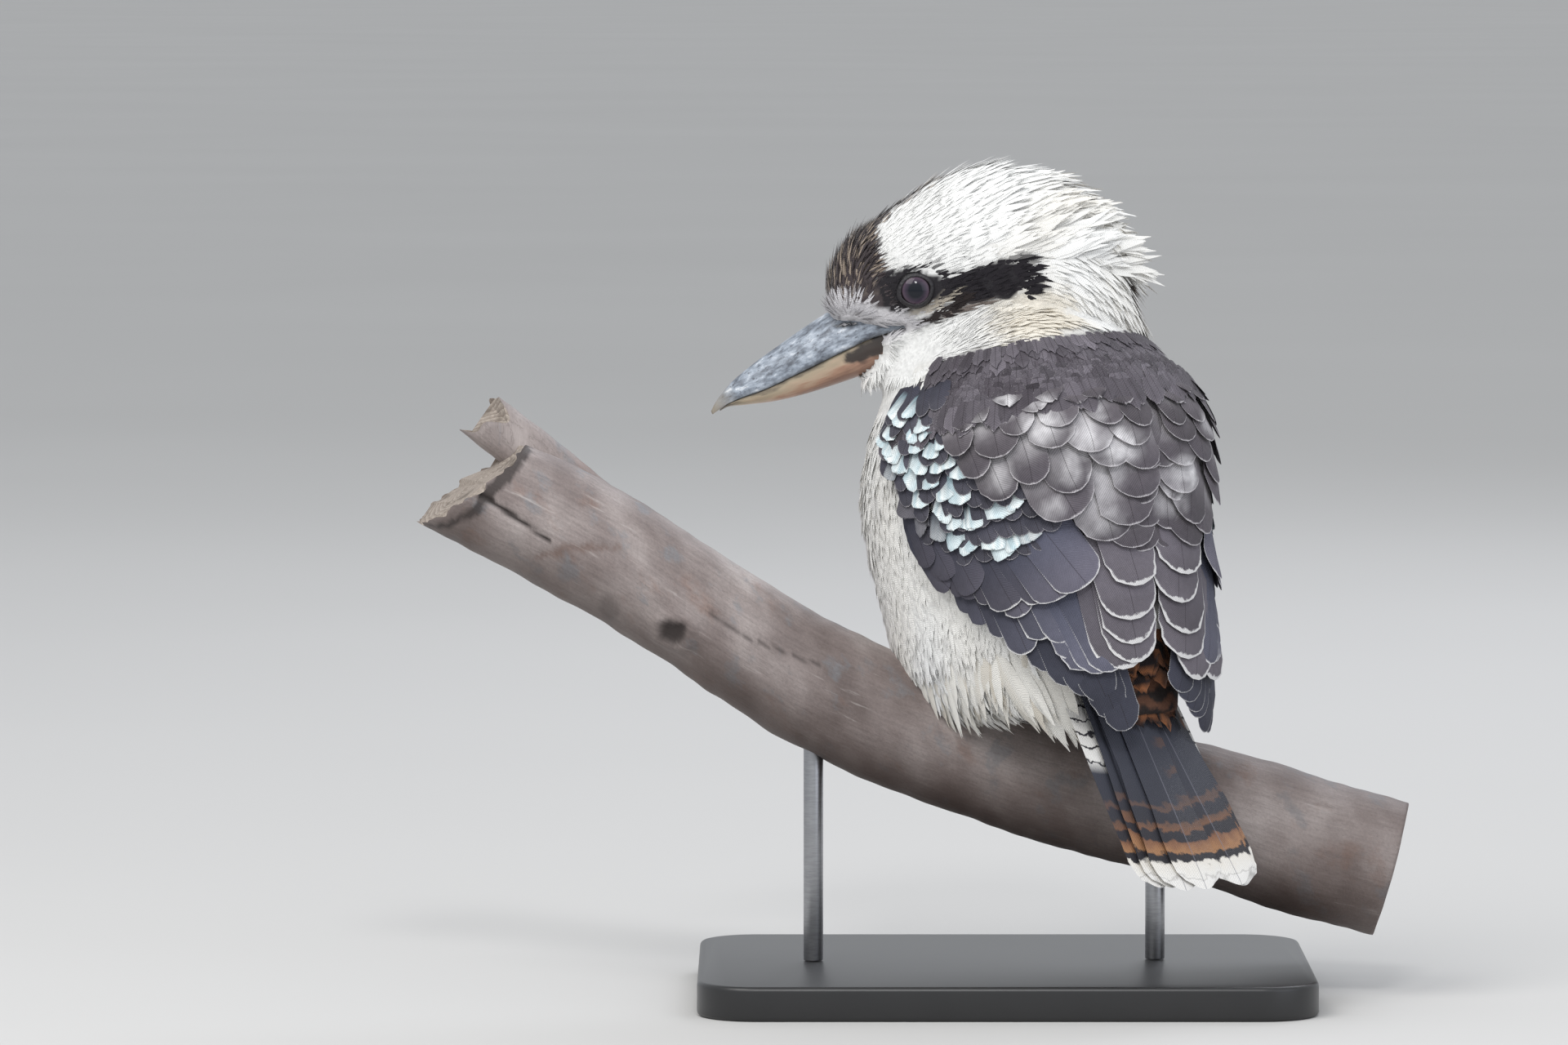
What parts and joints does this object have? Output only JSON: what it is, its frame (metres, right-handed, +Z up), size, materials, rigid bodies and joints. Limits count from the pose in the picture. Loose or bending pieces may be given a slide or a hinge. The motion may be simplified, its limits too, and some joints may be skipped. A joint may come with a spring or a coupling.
{
  "type": "laughing kookaburra",
  "caption": "Life-size still model of a laughing kookaburra perched on a short cut branch, head turned to the side, held by a plain display stand.",
  "frame": {"origin": "centre of the base's underside", "axes": "+X along the branch towards its low end, -Y towards the viewer, +Z up"},
  "size_m": [0.4043, 0.184, 0.348],
  "materials": {
    "white_plumage": "soft white feathers with a dark eye stripe",
    "wing_plumage": "matte brown feathers with pale edges and a pale blue shoulder patch",
    "tail_plumage": "matte rufous and black barred feathers with white tips",
    "upper_bill": "mottled blue-grey horn",
    "lower_bill": "cream horn",
    "eyes": "wet dark brown",
    "scaled_skin": "grey-green scales",
    "bark": "smooth grey-pink bark",
    "base": "black satin paint",
    "rods": "brushed"
  },
  "bodies": {
    "root": {"head": "white_plumage", "neck": "white_plumage", "torso": "white_plumage", "wing_left": "wing_plumage", "wing_right": "wing_plumage", "tail": "tail_plumage", "bill_upper": "upper_bill", "bill_lower": "lower_bill", "eye_left": "eyes", "eye_right": "eyes", "leg_left": "scaled_skin", "leg_right": "scaled_skin", "perch": "bark", "stand_base": "base", "stand_rod_left": "rods", "stand_rod_right": "rods"}
  },
  "joints": []
}
